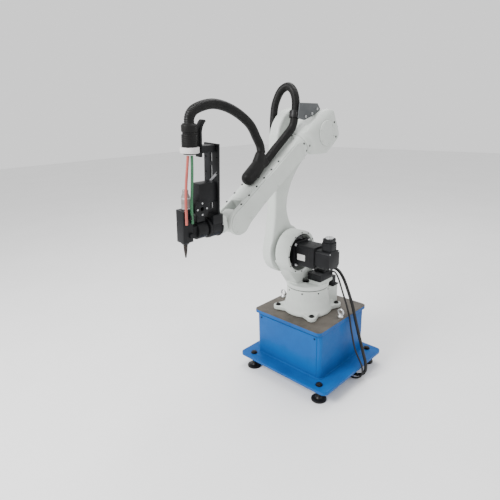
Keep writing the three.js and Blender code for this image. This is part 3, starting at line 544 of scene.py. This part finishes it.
def machined(node, material, body, bevel=0.9, angle=38):
    """A CAD piece with its flat faces joined up and a small round on its sharp edges."""
    mesh = bmesh.new()
    mesh.from_mesh(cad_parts[node].data)
    bmesh.ops.remove_doubles(mesh, verts=mesh.verts, dist=2e-6)
    bmesh.ops.dissolve_limit(mesh, angle_limit=math.radians(0.6), verts=mesh.verts, edges=mesh.edges)
    sharp = [e for e in mesh.edges if e.is_manifold and e.calc_face_angle() > math.radians(40)]
    bmesh.ops.bevel(
        mesh, geom=sharp, offset=bevel * MM, segments=2, profile=0.6, affect="EDGES", clamp_overlap=True,
    )
    made = bpy.data.meshes.new(f"{node}_skin")
    mesh.to_mesh(made)
    mesh.free()
    return finish_object(f"{node}_skin", made, material, body, (node,), angle)


CASTINGS = {
    "robot_base": "pedestal", "turret_casting": "turret", "upper_arm_casting": "upper_arm",
    "elbow_housing": "elbow", "forearm_casting": "forearm", "wrist_housing": "wrist",
}
MACHINED = [
    (BLUE, "pedestal", 1.6, ["base_plate", "pedestal_box", "pedestal_front_cover"]),
    (BLACK_PAINT, "pedestal", 1.5, ["harness_plug"]),
    (IRON, "pedestal", 0.8, ["j1_reducer"]),
    (BLACK_PAINT, "turret", 1.5, ["j1_motor", "j2_motor"]),
    (IRON, "turret", 0.8, ["j2_reducer"]),
    (WHITE, "upper_arm", 1.2, ["shoulder_cap", "elbow_cap"]),
    (BLACK_PAINT, "upper_arm", 1.5, ["arm_hose_clip"]),
    (IRON, "upper_arm", 0.8, ["j3_reducer"]),
    (WHITE, "elbow", 1.2, ["elbow_side_cover"]),
    (BLACK_PAINT, "elbow", 1.2, ["j3_motor", "j4_motor"]),
    (GREY_PAINT, "elbow", 0.8, ["hose_plate"]),
    (BLACK_STEEL, "elbow", 0.8, ["elbow_hose_clamp"]),
    (WHITE, "forearm", 1.2, ["forearm_cover"]),
    (BLACK_PAINT, "forearm", 0.8, ["j5_motor"]),
    (RUBBER, "forearm", 0.3, ["j5_belt"]),
    (WHITE, "tool", 0.8, ["tool_flange"]),
    (BLACK_PAINT, "tool", 1.0, [
        "collision_sensor", "torch_adapter", "torch_arm", "torch_body", "hose_support",
    ]),
    (BLACK_PAINT, "tool", 0.8, ["tool_bracket"]),
    (HOT_METAL, "tool", 0.4, ["torch_nozzle"]),
    (ANODISED, "tool", 0.8, ["torch_barrel"]),
    (RUBBER, "tool", 0.8, ["hose_connector"]),
    (PALE_PLASTIC, "tool", 0.8, ["hose_strap"]),
]


def add_skins():
    for node, body in CASTINGS.items():
        casting(node, WHITE, body)
    for material, body, bevel, nodes in MACHINED:
        for node in nodes:
            machined(node, material, body, bevel)
    casting("hose_boot", RUBBER, "forearm", 3, 12)


add_skins()

# ---- Pedestal fittings -------------------------------------------------------------------------

CORNERS = ((1, 1), (1, -1), (-1, -1), (-1, 1))


def thread(low, high, radius, pitch=2.5):
    """The profile of a threaded stud."""
    count = round((high - low) / pitch)
    out = [(0, low), (radius - 1.1, low)]
    for i in range(count):
        foot = low + pitch * i
        out += [(radius, foot + 0.35 * pitch), (radius, foot + 0.6 * pitch), (radius - 1.1, foot + pitch)]
    return [*out, (0, high)]


def nut(piece, centre, low, high, corners):
    """A hexagon nut; corners is half its width across the corners."""
    edge = corners * 0.93
    profile = [(edge, low), (corners, low + 1.5), (corners, high - 1.5), (edge, high)]
    piece.turned(profile, centre, UP, 6)


def levelling_feet():
    for i, (sx, sy) in enumerate(CORNERS, 1):
        centre = (-17 + sx * 247, 17 + sy * 240, 0)
        pad = Piece(f"foot_{i}_pad", BLACK_STEEL, "pedestal")
        pad.turned([(38, 0.2), (41.5, 2), (41.5, 8), (39, 10), (20, 14), (15, 19), (13, 22)], centre, UP, 40)
        pad.done(0, replaced=(f"levelling_foot_{i}",), angle=30)
        stud = Piece(f"foot_{i}_stud", BLACK_STEEL, "pedestal")
        stud.turned(thread(20, 103.5, 9.8), centre, UP, 20)
        nut(stud, centre, 60, 74, 17)
        nut(stud, centre, PLATE_TOP + 1.6, PLATE_TOP + 10, 17)
        stud.turned([(19.5, 0), (19.5, 2.2)], (centre[0], centre[1], PLATE_TOP + 0.2), UP, 28)
        stud.done(0, angle=40)


def screw(piece, at, normal, radius, height):
    """A socket screw with the recess for its key."""
    piece.turned(
        [(radius, 0), (radius, height * 0.75), (radius * 0.82, height), (radius * 0.5, height),
         (radius * 0.45, height * 0.35), (0, height * 0.3)],
        at, normal, 14,
    )


def screws(name, material, body, places, radius, height, place=MODEL_FRAME):
    """Screws at their places, as one piece."""
    made = Piece(name, material, body, place)
    for at, normal in places:
        screw(made, at, normal, radius, height)
    return made.done(0, angle=35)


def around(centre, axis, radius, count, first=0.0):
    """Places evenly round a circle, all facing along its axis."""
    centre, axis = Vector(centre), Vector(axis).normalized()
    u, v = across(axis)
    return [(point, axis) for point in circle(centre, u, v, radius, count, first)]


def weld_bead(name, corner_points, radius):
    """A weld along the foot of the box, with its small ripples."""
    path = spaced([Vector(p) for p in corner_points], 3)
    radii = [radius * (1 + 0.16 * math.sin(i * 2.1) + 0.08 * math.sin(i * 0.7)) for i in range(len(path))]
    Piece(name, BLUE, "pedestal").sweep(path, radii, 8).done(0, angle=70)


def pedestal_fittings():
    levelling_feet()
    low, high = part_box("pedestal_box")
    x0, y0, x1, y1 = (v / MM for v in (low.x, low.y, high.x, high.y))
    corner = 22
    loop = rounded(x1 - x0, y1 - y0, corner, (x0 + x1) / 2, (y0 + y1) / 2, 6)
    loop.append(loop[0])
    weld_bead("box_foot_weld", [(x, y, PLATE_TOP + 1.5) for x, y in loop], 3.6)
    weld_bead("box_top_weld", [(x, y, DECK - 22) for x, y in loop], 2.8)

    low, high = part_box("pedestal_front_cover")
    from_edge = 14
    face, top = high.x / MM, high.z / MM - from_edge
    edges = (low.y / MM + from_edge, high.y / MM - from_edge)
    places = [((face, y, top), (1, 0, 0)) for y in edges]
    screws("front_cover_screws", BLACK_STEEL, "pedestal", places, 5, 3.4)

    plate = Piece("top_plate_skin", BARE_STEEL, "pedestal")
    plate.slab(rounded(474, 468, 26, -22, 7, 8), DECK - 20, DECK, "Z")
    plate.done(1.5, replaced=("top_plate",))
    band = Piece("top_plate_painted_edge", BLUE, "pedestal")
    outline = rounded(474.6, 468.6, 26.3, -22, 7, 8)
    inner = rounded(473, 467, 25.5, -22, 7, 8)
    rings = [[(x, y, z) for x, y in shape] for shape, z in (
        (inner, DECK - 19), (outline, DECK - 18.6), (outline, DECK - 2.2), (inner, DECK - 1.8))]
    band.loft(rings).done(0)

    for side, name in ((1, "left"), (-1, "right")):
        y = 7 + side * 208
        eye = Piece(f"lifting_eye_{name}_ring", ZINC, "pedestal")
        ring = [(-22, y + 15.5 * math.cos(a), DECK + 30 + 15.5 * math.sin(a))
                for a in (2 * math.pi * i / 36 for i in range(37))]
        eye.sweep(ring, 5.4, 12)
        eye.turned([(16.5, 0.4), (16.5, 8), (12, 13), (9, 17)], (-22, y, DECK), UP, 28)
        eye.done(0, replaced=(f"lifting_eye_{name}",), angle=50)

    for i, (sx, sy) in enumerate(CORNERS, 1):
        seat_height = DECK + 18.6
        bolt = Piece(f"base_bolt_{i}_head", BLACK_STEEL, "pedestal")
        bolt.turned([(8, -30), (8, 0), (13, 0), (13, 12), (11.6, 13.2), (7.2, 13.2), (6.8, 6), (0, 5)],
                    (sx * 120, sy * 120, seat_height), UP, 24)
        bolt.done(0, replaced=(f"base_bolt_{i}",), angle=35)


pedestal_fittings()

# ---- Small fittings, some seated on the skin under them ------------------------------------------


def seat(skin, at, normal, place=MODEL_FRAME):
    """Where a line along the normal, through a place, first meets a skin from outside."""
    obj = bpy.data.objects[f"{skin}_skin"]
    normal = (place.to_3x3() @ Vector(normal)).normalized()
    start = (place @ Vector(at) + normal * 90) * MM
    hit, point, _, _ = obj.ray_cast(start, -normal)
    return (point / MM if hit else place @ Vector(at)), normal


def seated_screws(name, material, body, skin, places, radius, height, place=MODEL_FRAME):
    """Screws whose heads stand on a skin."""
    rows = [seat(skin, at, normal, place) for at, normal in places]
    sunk = [(point - normal * 0.4, normal) for point, normal in rows]
    return screws(name, material, body, sunk, radius, height)


def centre_of(node):
    """The middle of a CAD node's box, in millimetres."""
    low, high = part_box(node)
    return (low + high) / 2 / MM


def base_fittings():
    places = []
    for k in range(8):
        a = math.radians(22.5 + 45 * k)
        out = (math.cos(a), math.sin(a), 0)
        places.append(((118 * out[0], 118 * out[1], 515), out))
    seated_screws("base_neck_screws", BLACK_STEEL, "pedestal", "robot_base", places, 4.5, 3)
    seam = Piece("turret_seam_ring", BLACK_STEEL, "turret")
    seam.ring((0, 0, BASE_TOP + 0.2), UP, 96, 117.4, 2.4, 64).done(0)


def turret_fittings():
    x, z = SHOULDER.x, SHOULDER.z
    flange = Piece("j2_motor_flange", BLACK_PAINT, "turret")
    flange.slab(rounded(136, 136, 12, x, z), 16, 31).done(1.2)
    corners = [((x + sx * 56, 31, z + sz * 56), (0, 1, 0)) for sx, sz in CORNERS]
    screws("j2_motor_bolts", ZINC, "turret", corners, 7.5, 8)
    bands = Piece("j2_motor_seams", BLACK_STEEL, "turret")
    for y in (42, 118):
        outline = rounded(117.4, 117.4, 14.5, x, z)
        inner = rounded(115.4, 115.4, 13.5, x, z)
        rings = [(inner, y), (outline, y + 0.3), (outline, y + 2.2), (inner, y + 2.5)]
        bands.loft([[(a, at, b) for a, b in shape] for shape, at in rings])
    bands.done(0)
    corners = [((x + sx * 47, 150.2, z + sz * 47), (0, 1, 0)) for sx, sz in CORNERS]
    screws("j2_motor_tie_bolts", BLACK_STEEL, "turret", corners, 5, 4)
    corners = [((x + sx * 38, 235.8, z + sz * 38), (0, 1, 0)) for sx, sz in CORNERS]
    screws("j2_encoder_screws", ZINC, "turret", corners, 3.6, 2)
    label = Piece("j2_motor_label", LABEL, "turret")
    label.slab(rounded(52, 33, 2, 69, 748), x + 57.9, x + 58.6, "X").done(0.15)
    plug = Piece("j2_motor_plug_skin", BLACK_PAINT, "turret")
    y, foot = 204, 802.5
    plug.slab(rounded(60, 60, 12, x, y), foot, foot + 42, "Z")
    plug.slab(rounded(54, 54, 12, x, y), foot + 42.3, foot + 62, "Z")
    plug.done(1.6, replaced=("j2_motor_plug",))
    cap = Piece("j2_plug_nut", ZINC, "turret")
    cap.turned([(22, 0), (22, 5), (20.5, 6.8), (12, 7), (11, 3), (0, 2.5)], (x, y, foot + 62.2), UP, 24)
    cap.done(0, angle=35)
    places = around((x, 31, z), (0, 1, 0), 110, 12, 0.26)
    seated_screws("shoulder_barrel_screws", BLACK_STEEL, "turret", "turret_casting", places, 4, 2.4)


def arm_fittings():
    for joint in ("shoulder", "elbow"):
        middle = centre_of(f"{joint}_cap")
        places = [(at, (0, -1, 0)) for at, _ in around(middle, (0, -1, 0), 89, 10, 0.3)]
        seated_screws(f"{joint}_cap_screws", BLACK_STEEL, "upper_arm", f"{joint}_cap", places, 5, 4)
    clip = centre_of("arm_hose_clip")
    places = [((clip.x + side * 25, clip.y - 20, clip.z + up), (0, -1, 0))
              for side in (-1, 1) for up in (-14, 14)]
    seated_screws("arm_clip_screws", ZINC, "upper_arm", "arm_hose_clip", places, 4, 3)


def elbow_fittings():
    cover = ELBOW_FRAME @ Vector((-52, 0, 6))
    places = [(at, (0, 1, 0)) for at, _ in around((cover.x, 74, cover.z), (0, 1, 0), 57, 6, 0.5)]
    seated_screws("elbow_cover_screws", WHITE, "elbow", "elbow_side_cover", places, 4, 2.2)
    places = [((88, 74, 16), (0, 1, 0)), ((-134, 74, 22), (0, 1, 0)), ((-118, 74, -52), (0, 1, 0))]
    seated_screws("elbow_side_screws", BLACK_STEEL, "elbow", "elbow_housing", places, 5.5, 1.6, ELBOW_FRAME)
    corners = [((-190, sy * 52, 18 + sz * 44), (-1, 0, 0)) for sy, sz in CORNERS]
    seated_screws("elbow_rear_screws", BLACK_STEEL, "elbow", "elbow_housing", corners, 5, 3.5, ELBOW_FRAME)
    plate_face = 32.4
    places = [(ELBOW_FRAME @ Vector((x, plate_face, z)), (0, 1, 0))
              for x, z in ((-78, 126), (-30, 126), (22, 138))]
    screws("hose_plate_screws", ZINC, "elbow", places, 6, 5)
    fitting = Piece("elbow_air_fitting", ZINC, "elbow")
    point, normal = seat("elbow_housing", (-168, 20, 40), (0, 0, 1), ELBOW_FRAME)
    fitting.turned([(7, 0), (7, 7), (4.5, 8), (4.5, 15), (0, 16)], point - normal * 0.5, normal, 6)
    fitting.done(0.4)
    start, end = Vector((129, 0, 1450)), Vector((121, -2, 1482))
    axis = (end - start).normalized()
    clamp = Piece("elbow_clamp_bands", BLACK_STEEL, "elbow")
    clamp.ring(start + axis * 5, axis, 22, 27.4, 6, 36)
    clamp.ring(end - axis * 11, axis, 22, 27.4, 6, 36)
    clamp.done(0.4)


def forearm_fittings():
    lid = Piece("forearm_top_cover", WHITE, "forearm", FOREARM_FRAME)
    lid.slab(rounded(300, 76, 6, 420, 0), 53.8, 56.6, "Z")
    lid.done(0.8)
    rows = [((x, side, 60), (0, 0, 1)) for side in (47, -47) for x in range(300, 601, 60)]
    seated_screws(
        "forearm_top_screws", BLACK_STEEL, "forearm", "forearm_casting", rows, 4.6, 3, FOREARM_FRAME,
    )
    edge = [(x, z) for x in (160, 270, 380, 490, 600) for z in (-26, 43)]
    edge += [(REACH + 44 * math.cos(a), 44 * math.sin(a)) for a in (-1.1, -0.35, 0.4, 1.15)]
    rows = [((x, 64, z), (0, 1, 0)) for x, z in edge]
    seated_screws("forearm_cover_screws", WHITE, "forearm", "forearm_cover", rows, 3.6, 2, FOREARM_FRAME)
    far = Piece("wrist_pivot_cap", WHITE, "forearm", FOREARM_FRAME)
    far.turned([(40, -1), (40, 3), (37, 5), (0, 5.6)], (REACH, -58, 0), (0, -1, 0), 40).done(0.5)
    rows = [(FOREARM_FRAME @ at, normal) for at, normal in around((REACH, -63, 0), (0, -1, 0), 31, 6)]
    screws("wrist_cap_screws", BLACK_STEEL, "forearm", rows, 4, 3)
    along, collar_radius = 114, 64
    rows = [((along, collar_radius * math.cos(a), collar_radius * math.sin(a)),
             (0, math.cos(a), math.sin(a)))
            for a in (0.3, 1.5, 2.6, 3.7, 4.8, 5.9)]
    seated_screws("collar_screws", BLACK_STEEL, "forearm", "forearm_casting", rows, 5, 1.5, FOREARM_FRAME)


def tool_fittings():
    x_axis = (1, 0, 0)
    front = Piece("flange_ring", BLACK_STEEL, "tool", TOOL_FRAME)
    front.ring((663.6, 0, 0), x_axis, 30, 45.6, 1.2, 48)
    front.ring((716, 0, 0), x_axis, 43, 44.9, 3, 48)
    front.done(0.2)
    places = [((667.5, 44 * math.cos(a), 44 * math.sin(a)), (0, math.cos(a), math.sin(a)))
              for a in (2 * math.pi * i / 6 + 0.3 for i in range(6))]
    seated_screws("sensor_screws", ZINC, "tool", "collision_sensor", places, 2.8, 1.6, TOOL_FRAME)
    places = [((700, -8 + sy * 34, h), x_axis) for sy in (-1, 1) for h in (230, 292, 330)]
    seated_screws("bracket_screws", BLACK_STEEL, "tool", "tool_bracket", places, 4, 3.4, TOOL_FRAME)
    tie = Piece("bracket_tie", IRON, "tool", TOOL_FRAME)
    point, _ = seat("tool_bracket", (700, 12, 250), x_axis, TOOL_FRAME)
    face = (TOOL_FRAME.inverted() @ point).x
    leaning = [(y - 6, 200 + h + 0.9 * y) for y, h in rounded(70, 15, 3)]
    tie.slab(leaning, face - 0.6, face + 1.8, "X").done(0.4)
    knobs = Piece("torch_black_knob", BLACK_PAINT, "tool", TOOL_FRAME)
    inverse = TOOL_FRAME.inverted()
    for h in (-8, 70):
        point, _ = seat("torch_body", (822, 20, h), (0, 1, 0), TOOL_FRAME)
        knobs.turned([(11, -0.5), (11.5, 1), (11.5, 9), (9.5, 11.5), (0, 12)], inverse @ point, (0, 1, 0), 18)
    knobs.done(0.3)
    light = Piece("torch_pale_knob", PALE_PLASTIC, "tool", TOOL_FRAME)
    point, _ = seat("torch_body", (848, -20, 40), (0, -1, 0), TOOL_FRAME)
    light.turned([(9.5, -0.5), (10, 1), (10, 8), (8.5, 10), (0, 10.4)], inverse @ point, (0, -1, 0), 18)
    light.done(0.3)
    places = [(at, (0, side, 0)) for side in (-1, 1)
              for at, _ in around((766, side * 28, 94), (0, 1, 0), 24, 4, 0.78)]
    seated_screws("torch_clamp_screws", ZINC, "tool", "torch_arm", places, 4, 3.2, TOOL_FRAME)
    collars = Piece("torch_collars", ZINC, "tool", TOOL_FRAME)
    collars.ring((828, 0, 102), UP, 10, 18.8, 5, 36)
    collars.ring((828, 0, 143), UP, 10, 18.8, 5, 36)
    collars.done(0.4)
    ribs = Piece("hose_connector_ribs", RUBBER, "tool", TOOL_FRAME)
    for h in range(352, 392, 8):
        ribs.ring((800, 0, h), UP, 25, 31.4, 4, 36)
    ribs.done(0.6)


base_fittings()
turret_fittings()
arm_fittings()
elbow_fittings()
forearm_fittings()
tool_fittings()
machined("red_gas_hose", RED, "tool", 0, 60)
machined("green_gas_hose", GREEN, "tool", 0, 60)

# ---- Floor and light ---------------------------------------------------------------------------


def add_floor():
    made = bpy.data.meshes.new("floor")
    mesh = bmesh.new()
    bmesh.ops.create_grid(mesh, x_segments=1, y_segments=1, size=14)
    mesh.to_mesh(made)
    mesh.free()
    floor = bpy.data.objects.new("floor", made)
    bpy.context.collection.objects.link(floor)
    pale = surface("floor", (0.86, 0.86, 0.86), (0.83, 0.83, 0.83), 0.75, patches=1.5, bump=0.02)
    made.materials.append(pale)


def add_light(name, place, aim, power, size):
    """An area light aimed at a point."""
    data = bpy.data.lights.new(name, "AREA")
    data.energy = power
    data.size = size
    light = bpy.data.objects.new(name, data)
    direction = Vector(aim) - Vector(place)
    light.matrix_world = Matrix.Translation(place) @ direction.to_track_quat("-Z", "Y").to_matrix().to_4x4()
    bpy.context.collection.objects.link(light)


def add_lights():
    add_light("key", (3.6, -0.6, 3.2), (0, 0, 0.8), 230, 1.4)
    add_light("fill", (-0.4, 3.8, 2.4), (0, 0, 0.8), 30, 3.0)
    add_light("top", (-1.2, -0.6, 4.6), (0, 0, 0.8), 130, 2.4)
    world = bpy.data.worlds.new("studio")
    world.use_nodes = True
    world.node_tree.nodes["Background"].inputs["Color"].default_value = (1, 1, 1, 1)
    world.node_tree.nodes["Background"].inputs["Strength"].default_value = 1.15
    bpy.context.scene.world = world


add_floor()
add_lights()
